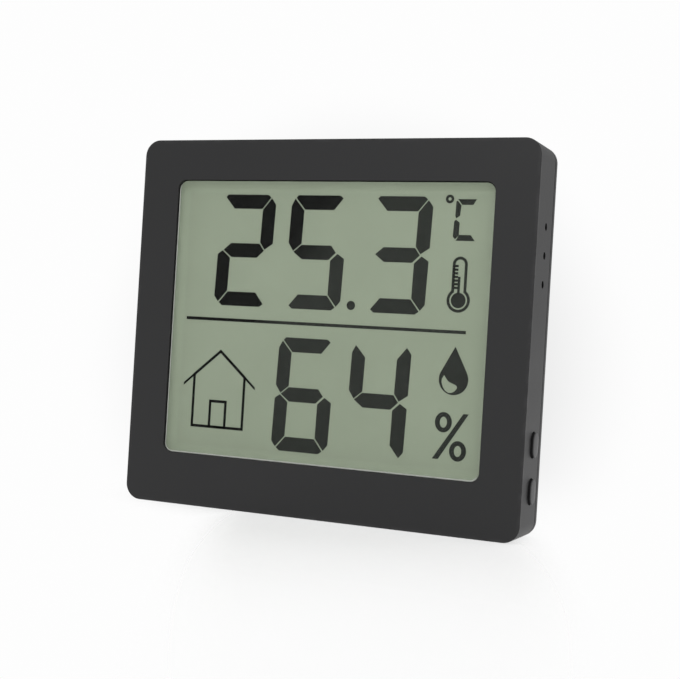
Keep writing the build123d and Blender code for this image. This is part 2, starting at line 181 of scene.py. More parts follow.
def copied(node, name):
    # a merged copy of a frame node, its flat faces joined again
    bm = bmesh.new()
    bm.from_mesh(nodes[node].data)
    bmesh.ops.remove_doubles(bm, verts=bm.verts, dist=2e-7)
    bmesh.ops.dissolve_limit(bm, angle_limit=math.radians(0.5), use_dissolve_boundaries=False,
                             verts=bm.verts, edges=bm.edges)
    for layer in list(bm.loops.layers.uv):
        bm.loops.layers.uv.remove(layer)
    return plainPiece(bm, name)


def fitOut(piece, body, slot, material, *replaced):
    # one material, one body, and the nodes that the piece stands for
    if material:
        piece.data.materials.clear()
        piece.data.materials.append(material)
    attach(piece, body)
    if replaced:
        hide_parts(*replaced)


# node tree helpers

def feed(tree, sockets, values):
    # links or sets several inputs
    for key, value in values.items():
        if isinstance(value, bpy.types.NodeSocket):
            tree.links.new(value, sockets[key])
        else:
            sockets[key].default_value = value


def addNode(tree, kind, inputs=None, **settings):
    node = tree.nodes.new(kind)
    for key, value in settings.items():
        setattr(node, key, value)
    feed(tree, node.inputs, inputs or {})
    return node


def mathNode(tree, operation, *values, clamp=False):
    inputs = dict(enumerate(values))
    return addNode(tree, "ShaderNodeMath", inputs, operation=operation, use_clamp=clamp).outputs[0]


def plus(tree, first, second, clamp=False):
    return mathNode(tree, "ADD", first, second, clamp=clamp)


def minus(tree, first, second, clamp=False):
    return mathNode(tree, "SUBTRACT", first, second, clamp=clamp)


def times(tree, first, second, clamp=False):
    return mathNode(tree, "MULTIPLY", first, second, clamp=clamp)


def vectorNode(tree, operation, *values, output="Vector", **named):
    inputs = dict(enumerate(values)) | named
    return addNode(tree, "ShaderNodeVectorMath", inputs, operation=operation).outputs[output]


def split(tree, vector):
    return addNode(tree, "ShaderNodeSeparateXYZ", {0: vector}).outputs


def rangeNode(tree, value, low, high, toLow=0, toHigh=1, kind="SMOOTHSTEP"):
    inputs = {"Value": value, "From Min": low, "From Max": high, "To Min": toLow, "To Max": toHigh}
    return addNode(tree, "ShaderNodeMapRange", inputs, interpolation_type=kind).outputs["Result"]


def mixColour(tree, factor, first, second):
    return addNode(tree, "ShaderNodeMix", {0: factor, 6: first, 7: second}, data_type="RGBA").outputs[2]


def mixShader(tree, factor, first, second):
    return addNode(tree, "ShaderNodeMixShader", {0: factor, 1: first, 2: second}).outputs[0]


def objectPlace(tree):
    return addNode(tree, "ShaderNodeTexCoord").outputs["Object"]


def noiseNode(tree, place, scale, detail, roughness=0.5):
    inputs = {"Vector": place, "Scale": scale, "Detail": detail, "Roughness": roughness}
    return addNode(tree, "ShaderNodeTexNoise", inputs).outputs["Fac"]


def cellNode(tree, place, scale, feature, **more):
    inputs = {"Vector": place, "Scale": scale} | more
    return addNode(tree, "ShaderNodeTexVoronoi", inputs, feature=feature).outputs["Distance"]


def bumpNode(tree, strength, height, distance=0.02):
    inputs = {"Strength": strength, "Distance": distance * mm, "Height": height}
    return addNode(tree, "ShaderNodeBump", inputs).outputs[0]


def colour(red, green, blue):
    # a colour picked as 0 to 255 on screen, made linear
    def linear(value):
        value /= 255
        return value / 12.92 if value <= 0.04045 else ((value + 0.055) / 1.055) ** 2.4
    return (linear(red), linear(green), linear(blue), 1)


def newTree(name, kind, inputs, outputs):
    # a node tree with named inputs and outputs, each with its kind
    tree = bpy.data.node_groups.new(name, kind + "NodeTree")
    for direction, sockets in (("INPUT", inputs), ("OUTPUT", outputs)):
        for label, content in sockets.items():
            tree.interface.new_socket(name=label, in_out=direction, socket_type="NodeSocket" + content)
    return tree, tree.nodes.new("NodeGroupInput").outputs, tree.nodes.new("NodeGroupOutput").inputs


# shader groups

surfaceKinds = {"Color": "Color", "Roughness": "Float", "Normal": "Vector"}


def buildMouldedGrain():
    # fine moulded or sprayed grain: colour, roughness and normal from object coordinates
    tree, given, result = newTree("mouldedGrain", "Shader", {
        "Color": "Color", "Roughness": "Float", "Grain Scale": "Float", "Grain Depth": "Float",
        "Variation": "Float"}, surfaceKinds)
    place = objectPlace(tree)
    fine = noiseNode(tree, place, given["Grain Scale"], 3, 0.6)
    pits = cellNode(tree, place, times(tree, given["Grain Scale"], 0.55), "SMOOTH_F1")
    height = plus(tree, times(tree, fine, 0.6), times(tree, pits, 0.5))
    cloudy = times(tree, minus(tree, noiseNode(tree, place, 90, 4), 0.5), given["Variation"])
    grainy = times(tree, minus(tree, fine, 0.5), given["Variation"])
    tone = plus(tree, 1, plus(tree, times(tree, cloudy, 1.5), times(tree, grainy, 2)))
    feed(tree, result, {
        "Color": vectorNode(tree, "SCALE", given["Color"], Scale=tone),
        "Roughness": plus(tree, given["Roughness"], cloudy, clamp=True),
        "Normal": bumpNode(tree, given["Grain Depth"], height)})
    return tree


def buildEdgeWearAndPaintedLight():
    # Mask: 1 on an edge of a box, broken up by noise, used for edge wear; Inside: how deep a point lies in the
    # box, whose corners are rounded as seen from the front, used for painted shade and painted light
    tree, given, result = newTree("edgeWearAndPaintedLight", "Shader", {
        "Centre": "Vector", "Half Size": "Vector", "Reach": "Float", "Corner": "Float"},
        {"Mask": "Float", "Inside": "Float"})
    place = objectPlace(tree)
    offset = vectorNode(tree, "ABSOLUTE", vectorNode(tree, "SUBTRACT", place, given["Centre"]))
    gap = vectorNode(tree, "SUBTRACT", given["Half Size"], offset)
    across, along, up = split(tree, gap)
    total = plus(tree, plus(tree, across, along), up)
    largest = mathNode(tree, "MAXIMUM", mathNode(tree, "MAXIMUM", across, along), up)
    fromEdge = mathNode(tree, "DIVIDE", minus(tree, total, largest), given["Reach"])
    patches = rangeNode(tree, noiseNode(tree, place, 420, 6), 0.38, 0.66)
    corner = vectorNode(tree, "MAXIMUM", vectorNode(tree, "SUBTRACT", given["Corner"], gap), (0, 0, 0))
    corner = vectorNode(tree, "MULTIPLY", corner, (1, 0, 1))
    beyond = vectorNode(tree, "LENGTH", corner, output="Value")
    smallest = mathNode(tree, "MINIMUM", along, minus(tree, given["Corner"], beyond))
    feed(tree, result, {
        "Mask": times(tree, minus(tree, 1, fromEdge, clamp=True), patches),
        "Inside": mathNode(tree, "DIVIDE", smallest, given["Reach"], clamp=True)})
    return tree


def buildWorkedMetal():
    # drawn or rolled metal: fine lines one way, smudges and spots
    tree, given, result = newTree("workedMetal", "Shader", {
        "Color": "Color", "Tarnish": "Color", "Roughness": "Float", "Stretch": "Vector", "Depth": "Float"},
        surfaceKinds)
    place = objectPlace(tree)
    lines = noiseNode(tree, vectorNode(tree, "MULTIPLY", place, given["Stretch"]), 1, 4)
    stain = rangeNode(tree, noiseNode(tree, place, 260, 5), 0.45, 0.8, 0, 0.5)
    rough = plus(tree, given["Roughness"], times(tree, lines, 0.15))
    feed(tree, result, {
        "Color": mixColour(tree, stain, given["Color"], given["Tarnish"]),
        "Roughness": plus(tree, rough, times(tree, stain, 0.25), clamp=True),
        "Normal": bumpNode(tree, given["Depth"], lines)})
    return tree


mouldedGrain = buildMouldedGrain()
edgeWearAndPaintedLight = buildEdgeWearAndPaintedLight()
workedMetal = buildWorkedMetal()
print("shader groups built")


# finishes

def blank(name):
    material = bpy.data.materials.new(name)
    material.use_nodes = True
    return material, material.node_tree, material.node_tree.nodes["Principled BSDF"]


def wearAndPaintedLightBox(tree, low, high, reach, corner=0):
    # the group for edge wear, painted shade and painted light, on the box between two corners
    inputs = {"Centre": (low + high) / 2, "Half Size": (high - low) / 2, "Reach": reach * mm,
              "Corner": corner * mm}
    return addNode(tree, "ShaderNodeGroup", inputs, node_tree=edgeWearAndPaintedLight).outputs


def plasticFinish(name, shade, roughness, scale=5200, depth=0.3, variation=0.1, specular=0.5, sheen=0,
                  box=None, worn=None, paintedShadeBox=None, paintedShadeColour=None):
    # box: its edges are worn; the second box gets painted shade: what lies in it is painted dark and dull
    material, tree, shader = blank(name)
    grain = addNode(tree, "ShaderNodeGroup", {
        "Color": colour(*shade), "Roughness": roughness, "Grain Scale": scale, "Grain Depth": depth,
        "Variation": variation}, node_tree=mouldedGrain).outputs
    shown, rough, gloss = grain["Color"], grain["Roughness"], specular
    if box:
        mask = times(tree, wearAndPaintedLightBox(tree, *box, reach=0.6)["Mask"], 0.5)
        shown = mixColour(tree, mask, shown, colour(*worn))
        rough = minus(tree, rough, times(tree, mask, 0.25))
    # painted shade: inside the second box the colour turns dark and the gloss dull
    if paintedShadeBox:
        low, high, corner = paintedShadeBox
        inside = wearAndPaintedLightBox(tree, low, high, reach=0.1, corner=corner)["Inside"]
        shown = mixColour(tree, inside, shown, colour(*paintedShadeColour))
        gloss = rangeNode(tree, inside, 0, 1, specular, 0.02, kind="LINEAR")
    feed(tree, shader.inputs, {"Base Color": shown, "Roughness": rough, "Normal": grain["Normal"],
                               "Specular IOR Level": gloss, "Sheen Weight": sheen})
    return material


def metalFinish(name, shade, tarnish, roughness, stretch=(300, 4000, 4000), depth=0.1):
    material, tree, shader = blank(name)
    metal = addNode(tree, "ShaderNodeGroup", {
        "Color": colour(*shade), "Tarnish": colour(*tarnish), "Roughness": roughness, "Stretch": stretch,
        "Depth": depth}, node_tree=workedMetal).outputs
    feed(tree, shader.inputs, {"Base Color": metal["Color"], "Roughness": metal["Roughness"],
                               "Normal": metal["Normal"], "Metallic": 1})
    return material


def clearFinish(name, shade, alpha, roughness):
    # a clear layer: mostly see-through, with faint rubbing in its gloss
    material, tree, shader = blank(name)
    haze = noiseNode(tree, objectPlace(tree), 140, 6)
    feed(tree, shader.inputs, {
        "Base Color": colour(*shade), "Roughness": plus(tree, roughness, times(tree, haze, 0.1)),
        "Alpha": plus(tree, alpha - 0.01, times(tree, haze, 0.02))})
    return material


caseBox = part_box("front_case")
wholeCase = (caseBox[0], Vector((caseBox[1].x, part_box("rear_cover")[1].y, caseBox[1].z)))
# the last number is the radius of the box's corners; what lies in these two boxes gets painted shade, the
# case's inside and holes and the keys' flanks
caseInsideShadeBox = (caseBox[0] + shift((0.05, 1.2, 0.05)), caseBox[1] - shift((0.05, 0.2, 0.05)), 2.35)
keyFlankShadeBox = (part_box("lower_button")[0] - shift((1, 1, 1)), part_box("upper_button")[1] + shift((-0.17, 1, 1)),
            0.1)

plasticLooks = {
    # the case's lighter edges are wear; its dark inside is painted shade
    "case_plastic": dict(shade=(32, 32, 33), roughness=0.5, scale=4200, variation=0.09, specular=0.42,
                         box=wholeCase, worn=(56, 56, 57), paintedShadeBox=caseInsideShadeBox, paintedShadeColour=(5, 5, 5)),
    # painted shade: the keys are painted dark all over but the top of their domes
    "key_rubber": dict(shade=(66, 66, 67), roughness=0.5, paintedShadeBox=keyFlankShadeBox, paintedShadeColour=(34, 34, 35)),
    "gasket_foam": dict(shade=(22, 22, 23), roughness=0.95, scale=2600, depth=1, variation=0.3,
                        specular=0.2, sheen=0.3),
    "zebra_rubber": dict(shade=(196, 122, 132), roughness=0.6, scale=2500, variation=0.2),
    "bracket_plastic": dict(shade=(214, 214, 208), roughness=0.5, scale=2400),
    "epoxy": dict(shade=(14, 14, 15), roughness=0.16, scale=500, depth=0.8, variation=0.12),
    "sensor_package": dict(shade=(212, 212, 206), roughness=0.4, scale=4200),
    "chip_ceramic": dict(shade=(168, 136, 98), roughness=0.45, scale=3800, depth=0.5, variation=0.25),
    "resistor_body": dict(shade=(26, 26, 28), roughness=0.35, scale=3800, depth=0.4, variation=0.2),
    "switch_plastic": dict(shade=(34, 34, 36), roughness=0.45, scale=3200),
    "plunger_plastic": dict(shade=(202, 68, 50), roughness=0.42, scale=3200),
    "reflector_film": dict(shade=(172, 176, 166), roughness=0.4, depth=0.2, variation=0.08),
}

metalLooks = {
    "plated_steel": dict(shade=(198, 196, 188), tarnish=(120, 112, 98), roughness=0.28),
    "black_steel": dict(shade=(52, 52, 54), tarnish=(88, 80, 70), roughness=0.36),
    "bright_can": dict(shade=(212, 212, 210), tarnish=(140, 136, 128), roughness=0.2,
                       stretch=(4000, 4000, 300)),
    "contact_metal": dict(shade=(214, 206, 186), tarnish=(150, 128, 92), roughness=0.26),
    "cell_steel": dict(shade=(206, 206, 204), tarnish=(132, 130, 126), roughness=0.3, stretch=(900, 300, 900),
                       depth=0.15),
    "magnet_metal": dict(shade=(188, 188, 186), tarnish=(110, 106, 100), roughness=0.24,
                         stretch=(700, 700, 700)),
}

clearLooks = {
    "lens_acrylic": dict(shade=(60, 62, 58), alpha=0.03, roughness=0.06),
    "polarizer_film": dict(shade=(40, 44, 38), alpha=0.012, roughness=0.35),
    "display_glass": dict(shade=(60, 66, 60), alpha=0.012, roughness=0.04),
}


def boardFinish():
    # green laminate with copper lines under the mask and tinned dots
    material, tree, shader = blank("board_laminate")
    place = objectPlace(tree)
    edges, middles = (cellNode(tree, place, 330, feature, Randomness=0.85)
                      for feature in ("DISTANCE_TO_EDGE", "F1"))
    tracks = rangeNode(tree, edges, 0.10, 0.13, 1, 0)
    tinned = rangeNode(tree, middles, 0.11, 0.13, 1, 0)
    weave = noiseNode(tree, place, 2600, 2)
    base = mixColour(tree, weave, colour(16, 74, 44), colour(22, 88, 54))
    base = mixColour(tree, times(tree, tracks, 0.6), base, colour(44, 128, 76))
    feed(tree, shader.inputs, {
        "Base Color": mixColour(tree, tinned, base, colour(206, 204, 196)),
        "Metallic": times(tree, tinned, 0.9), "Roughness": plus(tree, 0.28, times(tree, weave, 0.16)),
        "Normal": bumpNode(tree, 0.4, plus(tree, tracks, tinned), 0.04)})
    return material


finish = {"board_laminate": boardFinish()}
for build, looks in ((plasticFinish, plasticLooks), (metalFinish, metalLooks), (clearFinish, clearLooks)):
    finish.update({name: build(name, **look) for name, look in looks.items()})

displayLook = {
    "background": colour(137, 147, 128), "grain": colour(132, 142, 123),
    "darkMark": colour(9, 10, 9), "paintedGlareMark": colour(47, 50, 46),
    # painted glow: the panel gives out this share of its colour as light, though it is no lamp
    "glow": 0.35,   # the share of its light that the bright reflector gives back whatever shades it
    # painted light: the reflector is painted brighter towards this outline, which is far deeper than the
    # reflector, against the shade of the recess
    "rim": (-25.2, 26.2, 7.2, 48.9), "rimDepth": 100, "rimReach": 2, "rimGain": 0.3,
    # painted reflection on the marks: the stretch in which they turn pale, across a slanted line, and how far
    # left they stay dark
    "paintedGlareStretch": (-9, 4), "paintedGlareSlope": 0.9, "paintedGlareHeight": 38, "paintedGlareLeft": (-13, -7),
}


def panelFinish():
    # the reflector seen through the liquid crystal: grey green with a very fine grain, a painted glow and
    # painted light towards its edges
    material, tree, shader = blank("displayBackground")
    look = displayLook
    place = objectPlace(tree)
    speck = noiseNode(tree, place, 5200, 2)
    both = plus(tree, times(tree, speck, 0.5), times(tree, noiseNode(tree, place, 60, 2), 0.5))
    x0, x1, z0, z1 = look["rim"]
    deep, reach = look["rimDepth"], look["rimReach"]
    # painted light: brighter towards the window's edges, where the recess shades the panel
    rim = wearAndPaintedLightBox(tree, shift((x0, -deep, z0)), shift((x1, deep, z1)), reach, reach)["Inside"]
    paintedBrightening = rangeNode(tree, rim, 0, 1, 1 + look["rimGain"], 1, kind="LINEAR")
    shown = mixColour(tree, rangeNode(tree, both, 0.25, 0.75), look["grain"], look["background"])
    shown = vectorNode(tree, "SCALE", shown, Scale=paintedBrightening)
    # painted glow: the panel's own colour is given out as light
    feed(tree, shader.inputs, {
        "Base Color": shown, "Emission Color": shown, "Emission Strength": look["glow"],
        "Roughness": plus(tree, 0.5, times(tree, speck, 0.2)), "Specular IOR Level": 0.2})
    return material


def markFinish():
    # the lit segments, with a painted reflection that makes them paler towards the lower right
    material, tree, shader = blank("displayMark")
    look = displayLook
    place = objectPlace(tree)
    across, _, up = split(tree, place)
    # painted reflection: the marks turn pale towards the lower right
    fall = times(tree, minus(tree, up, look["paintedGlareHeight"] * mm), look["paintedGlareSlope"])
    stretches = ((minus(tree, across, fall), look["paintedGlareStretch"]), (across, look["paintedGlareLeft"]))
    paintedGlare, lit = (rangeNode(tree, value, low * mm, high * mm) for value, (low, high) in stretches)
    paintedGlare = times(tree, paintedGlare, lit)
    speck = noiseNode(tree, place, 9000, 2)
    mixed = plus(tree, paintedGlare, times(tree, minus(tree, speck, 0.5), 0.03), clamp=True)
    feed(tree, shader.inputs, {
        "Base Color": mixColour(tree, mixed, look["darkMark"], look["paintedGlareMark"]),
        "Roughness": plus(tree, 0.45, times(tree, speck, 0.2)), "Specular IOR Level": 0.1})
    return material


def paintedLensHighlightFinish():
    # the cut edge of the lens, with a painted highlight where it faces the floor or the left
    material, tree, shader = blank("paintedLensHighlight")
    across, _, up = split(tree, addNode(tree, "ShaderNodeNewGeometry").outputs["Normal"])
    # painted highlight: whitish and less clear where the edge faces down or left
    facing = plus(tree, times(tree, up, -0.9), times(tree, across, -0.5))
    share = rangeNode(tree, facing, -0.3, 0.45, 0.05, 0.95)
    haze = plus(tree, 0.75, times(tree, noiseNode(tree, objectPlace(tree), 900, 4), 0.5))
    feed(tree, shader.inputs, {"Base Color": colour(226, 230, 222), "Roughness": 0.35,
                               "Alpha": times(tree, share, haze, clamp=True)})
    return material


lensBorder = plasticFinish("lensBorder", (10, 10, 10), 0.6, depth=0.2, specular=0.1)
paintedLensHighlight = paintedLensHighlightFinish()
panelMaterial = panelFinish()
markMaterial = markFinish()
print("finishes:", len(finish))

for node in nodes.values():
    for place in node.material_slots:
        place.material = finish[place.material.name.split(".")[0]]

# front of the case

caseShape = {
    "outline": (-31, 31, 0, 54.8), "cornerRadius": 2.4, "smallRadius": 0.3, "front": -4.5, "back": 3.2,
    "frontRound": 0.14, "backRound": 0.07, "partingDepth": 0.06, "partingInset": 0.15,
    "wall": 1.5, "frontWall": 1.2, "lip": 0.4, "seat": (-25.9, 25.9, 4.7, 49.8), "seatRadius": 0.1,
    "window": (-24.9, 24.9, 7.7, 48.8), "windowRadius": 1.4, "windowRound": 0.06,
    "cornerSteps": 12, "roundSteps": 5,
    "posts": ((-22, 3.1, 1.5, 0.8, 1.7), (22, 3.1, 1.5, 0.8, 1.7)),   # across, up, outer, inner, back
    "postRoot": -3.4, "postSteps": 40,
    # the holes in the right side have their rims rounded, and no other edge lies in this stretch of it
    "holeRound": 0.05, "holeDepths": (-3.5, 2.2), "holeHeights": (2.5, 52),
}
ventShape = {"radius": 0.53, "length": 3, "sides": 32, "count": 3, "start": (30.25, 0, 35.23),
             "step": (0, 0, 3.97), "turn": (0, 90, 0)}
keyShape = {
    "length": 3.5, "width": 2.4, "round": 0.12, "dome": 0.07, "clearance": 0.11,
    "top": 31.5, "wallInside": 29.5, "flangeOutside": 29.4, "flangeInside": 28.6, "flangeMargin": 0.6,
    "heights": {"lower": 6.8, "upper": 13.2}, "roundSteps": 6, "endSteps": 16,
    "domeShares": (0.75, 0.5, 0.25, 0.06), "overrun": 1,
}


def cylinderNode(tree, vertices, radius, depth):
    inputs = {"Vertices": vertices, "Radius": radius, "Depth": depth}
    return addNode(tree, "GeometryNodeMeshCylinder", inputs).outputs["Mesh"]


def turnNode(tree, angles):
    return addNode(tree, "FunctionNodeEulerToRotation", {0: angles}).outputs[0]


def makeReal(tree, result, points, instance, rotation, material):
    # an instance on each point, made real, is what the tree gives
    inputs = {"Points": points, "Instance": instance, "Rotation": rotation}
    copies = addNode(tree, "GeometryNodeInstanceOnPoints", inputs).outputs[0]
    real = addNode(tree, "GeometryNodeRealizeInstances", {0: copies}).outputs[0]
    last = addNode(tree, "GeometryNodeSetMaterial", {"Geometry": real, "Material": material}).outputs[0]
    tree.links.new(last, result["Geometry"])


def grownFrom(tree, name, values, points=()):
    # an object whose mesh comes from a node tree with the given inputs and points, made plain
    mesh = bpy.data.meshes.new(name)
    mesh.from_pydata([shift(point) for point in points], [], [])
    piece = linked(mesh, name)
    modifier = piece.modifiers.new("nodes", "NODES")
    modifier.node_group = tree
    for item in tree.interface.items_tree:
        if item.in_out == "INPUT" and item.name in values:
            modifier[item.identifier] = values[item.name]
    return settle(piece)


def buildPunchTree():
    # a row of punches with round or few-sided ends, as instances on a line
    tree, given, result = newTree("rowPunches", "Geometry", {
        "Radius": "Float", "Length": "Float", "Sides": "Int", "Count": "Int", "Start": "Vector",
        "Step": "Vector", "Turn": "Vector", "Material": "Material"}, {"Geometry": "Geometry"})
    row = addNode(tree, "GeometryNodeMeshLine", {
        "Count": given["Count"], "Start Location": given["Start"], "Offset": given["Step"]}).outputs[0]
    punch = cylinderNode(tree, given["Sides"], given["Radius"], given["Length"])
    makeReal(tree, result, row, punch, turnNode(tree, given["Turn"]), given["Material"])
    return tree


rowPunches = buildPunchTree()


def punched(piece, name, spec):
    # cuts a row of punches out of a piece
    cut(piece, grownFrom(rowPunches, name, {
        "Radius": spec["radius"] * mm, "Length": spec["length"] * mm, "Sides": spec["sides"],
        "Count": spec["count"], "Start": shift(spec["start"]), "Step": shift(spec["step"]),
        "Turn": [math.radians(angle) for angle in spec["turn"]], "Material": finish["case_plastic"]}))


def buildCaseFront():
    s = caseShape
    steps = s["cornerSteps"]
    front, back = s["front"], s["back"]

    def outer(inset, depth):
        radius = max(s["cornerRadius"] - inset, s["smallRadius"])
        return cornerRing(grown(s["outline"], -inset), radius, depth, steps)

    turns = [math.radians(90 * k / s["roundSteps"]) for k in range(s["roundSteps"] + 1)]
    rings = []
    for angle in turns:
        out = s["windowRound"] * (1 - math.cos(angle))
        depth = front + s["windowRound"] * (1 - math.sin(angle))
        rings.append(cornerRing(grown(s["window"], out), s["windowRadius"] + out, depth, steps))
    for angle in turns:
        inset = s["frontRound"] * (1 - math.sin(angle))
        rings.append(outer(inset, front + s["frontRound"] * (1 - math.cos(angle))))
    rings += [
        outer(0, back - s["partingDepth"] - s["backRound"]),
        outer(s["backRound"], back - s["partingDepth"]),
        outer(s["partingInset"], back - s["partingDepth"]),
        outer(s["partingInset"], back),
        outer(s["wall"], back),
        outer(s["wall"], front + s["frontWall"]),
        cornerRing(s["seat"], s["seatRadius"], front + s["frontWall"], steps),
        cornerRing(s["seat"], s["seatRadius"], front + s["lip"], steps),
        cornerRing(s["window"], s["windowRadius"], front + s["lip"], steps),
    ]
    bm = bmesh.new()
    loft(bm, rings, closed=True)
    for cx, cz, outside, inside, depth in s["posts"]:
        profile = ((outside, s["postRoot"]), (outside, depth), (inside, depth), (inside, s["postRoot"]))
        loft(bm, [circleRing(cx, cz, radius, y, s["postSteps"]) for radius, y in profile], closed=True)
    piece = meshPiece(bm, "caseFront")

    punched(piece, "ventPunches", ventShape)
    bm = bmesh.new()
    k = keyShape
    right = s["outline"][1]
    half = (k["length"] - k["width"]) / 2
    for height in k["heights"].values():
        loft(bm, [slotRing(x, height, half, k["width"] / 2 + k["clearance"], k["endSteps"])
                  for x in (k["wallInside"] - k["overrun"], right + k["overrun"])], caps=True)
    cut(piece, meshPiece(bm, "keyPunches"))

    (y0, y1), (z0, z1) = s["holeDepths"], s["holeHeights"]
    roundEdges(piece, s["holeRound"], 3, lambda a, b: all(
        p.x > right - touch and y0 < p.y < y1 and z0 < p.z < z1 for p in (a, b)))
    return smooth(piece)


fitOut(buildCaseFront(), "case", "case_plastic", finish["case_plastic"], "front_case")
print("front of the case built")

# keys


def buildKey(name, height):
    k = keyShape
    half = (k["length"] - k["width"]) / 2
    radius = k["width"] / 2

    def ring(x, change):
        return slotRing(x, height, half, radius + change, k["endSteps"])

    shoulder = k["top"] - k["dome"]
    rings = [
        ring(k["flangeInside"], k["flangeMargin"]),
        ring(k["flangeOutside"], k["flangeMargin"]),
        ring(k["flangeOutside"], 0),
    ]
    for step in range(k["roundSteps"] + 1):
        angle = math.radians(90 * step / k["roundSteps"])
        top = shoulder - k["round"] * (1 - math.sin(angle))
        rings.append(ring(top, -k["round"] * (1 - math.cos(angle))))
    crown = radius - k["round"]
    for share in k["domeShares"]:
        rings.append(ring(shoulder + k["dome"] * (1 - share ** 2), -k["round"] - crown * (1 - share)))
    return smooth(lofted(name, rings), 50)


for side, height in keyShape["heights"].items():
    piece = buildKey(side + "Key", height)
    fitOut(piece, side + "_key", "key_rubber", finish["key_rubber"], side + "_button")
print("keys built")

# back of the case, battery door and leg

# how far in from the back face an edge may lie to be rounded, how wide the rounding is, and up to what height
backShape = {
    "segments": 3,
    "cover": {"reach": 0.27, "width": 0.1, "top": 60},
    "door": {"reach": 0.22, "width": 0.08, "top": 60},
    "leg": {"reach": 0.02, "width": 0.12, "top": 22.5},
}

# shallow marks: two dots for locked and released, the door's pointer, and grooves for a finger on the leg
markShape = {
    "cover": {"radius": 0.45, "length": 0.3, "sides": 24, "count": 2, "start": (0, 4.5, 51.55),
              "step": (7.2, 0, -2.27), "turn": (90, 0, 0)},
    "door": {"radius": 0.7, "length": 0.3, "sides": 3, "count": 1, "start": (0, 4.45, 49),
             "step": (0, 0, 0), "turn": (90, -90, 0)},
    "leg": {"radius": 0.42, "length": 9, "sides": 32, "count": 3, "start": (0, 4.62, 7.6),
            "step": (0, 0, 1.2), "turn": (0, 90, 0)},
}


def buildBack(node, name, spec, marks):
    piece = copied(node, name)
    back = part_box(node)[1].y / mm
    roundEdges(piece, spec["width"], backShape["segments"],
               lambda a, b: min(a.y, b.y) > back - spec["reach"] and max(a.z, b.z) < spec["top"])
    punched(piece, name + "Punches", marks)
    return smooth(piece)


for part, body, node, name in (("cover", "case", "rear_cover", "rearCover"),
                               ("door", "door", "battery_door", "batteryDoor"),
                               ("leg", "leg", "stand_leg", "standLeg")):
    piece = buildBack(node, name, backShape[part], markShape[part])
    fitOut(piece, body, "case_plastic", finish["case_plastic"], node)
print("back pieces built")

# screws

screwShape = {
    "case": {"points": ((-22, 3.1), (22, 3.1)), "seat": 3.5, "head": 1.5, "height": 0.9, "shank": 0.8,
             "tip": -1.5, "seed": 3},
    "board": {"points": ((-27.65, 27.25), (27.65, 27.25)), "seat": -0.44, "head": 1.25, "height": 0.7,
              "shank": 0.6, "tip": -2.84, "seed": 8},
    "crossLength": 1.6, "crossWidth": 0.4, "crossDepth": 0.9, "vertices": 48,
    "ballShare": 1.25, "ballRings": 24,   # the head is the top of a flattened ball, wider by this factor
}


def buildScrewTree():
    # pan heads with a cross recess on shanks, one at each vertex of the mesh, each turned its own way
    lengths = ("Head Radius", "Head Height", "Shank Radius", "Shank Length", "Cross Length", "Cross Width",
               "Cross Depth")
    tree, given, result = newTree("panScrews", "Geometry", {
        "Geometry": "Geometry", **{label: "Float" for label in lengths}, "Vertices": "Int", "Seed": "Int",
        "Material": "Material"}, {"Geometry": "Geometry"})

    def joinXYZ(x=0, y=0, z=0):
        return addNode(tree, "ShaderNodeCombineXYZ", {0: x, 1: y, 2: z}).outputs[0]

    def lifted(mesh, along):
        return addNode(tree, "GeometryNodeTransform", {
            "Geometry": mesh, "Translation": joinXYZ(z=along)}).outputs[0]

    disc = cylinderNode(tree, given["Vertices"], given["Head Radius"], given["Head Height"])
    ballRadius = times(tree, given["Head Radius"], screwShape["ballShare"])
    ball = {"Segments": given["Vertices"], "Rings": screwShape["ballRings"], "Radius": ballRadius}
    ball = addNode(tree, "GeometryNodeMeshUVSphere", ball).outputs["Mesh"]
    flat = joinXYZ(1, 1, mathNode(tree, "DIVIDE", given["Head Height"], ballRadius))
    dome = addNode(tree, "GeometryNodeTransform", {"Geometry": ball, "Scale": flat}).outputs[0]
    head = addNode(tree, "GeometryNodeMeshBoolean", operation="INTERSECT", solver="EXACT")
    tree.links.new(lifted(disc, times(tree, given["Head Height"], 0.5)), head.inputs[1])
    tree.links.new(dome, head.inputs[1])
    bars = addNode(tree, "GeometryNodeJoinGeometry")
    for long, short in (("Cross Length", "Cross Width"), ("Cross Width", "Cross Length")):
        size = joinXYZ(given[long], given[short], given["Cross Depth"])
        bar = addNode(tree, "GeometryNodeMeshCube", {"Size": size}).outputs["Mesh"]
        tree.links.new(lifted(bar, given["Head Height"]), bars.inputs[0])
    marked = addNode(tree, "GeometryNodeMeshBoolean", {
        0: head.outputs["Mesh"], 1: bars.outputs[0], "Self Intersection": True}, operation="DIFFERENCE",
        solver="EXACT").outputs["Mesh"]
    shank = cylinderNode(tree, given["Vertices"], given["Shank Radius"], given["Shank Length"])
    whole = addNode(tree, "GeometryNodeJoinGeometry")
    tree.links.new(marked, whole.inputs[0])
    tree.links.new(lifted(shank, times(tree, given["Shank Length"], -0.5)), whole.inputs[0])
    spin = addNode(tree, "FunctionNodeRandomValue", {"Seed": given["Seed"], 3: math.pi}, data_type="FLOAT")
    turns = {0: turnNode(tree, (-math.pi / 2, 0, 0)), 1: turnNode(tree, joinXYZ(z=spin.outputs[1]))}
    both = addNode(tree, "FunctionNodeRotateRotation", turns, rotation_space="LOCAL").outputs[0]
    makeReal(tree, result, given["Geometry"], whole.outputs[0], both, given["Material"])
    return tree


panScrews = buildScrewTree()


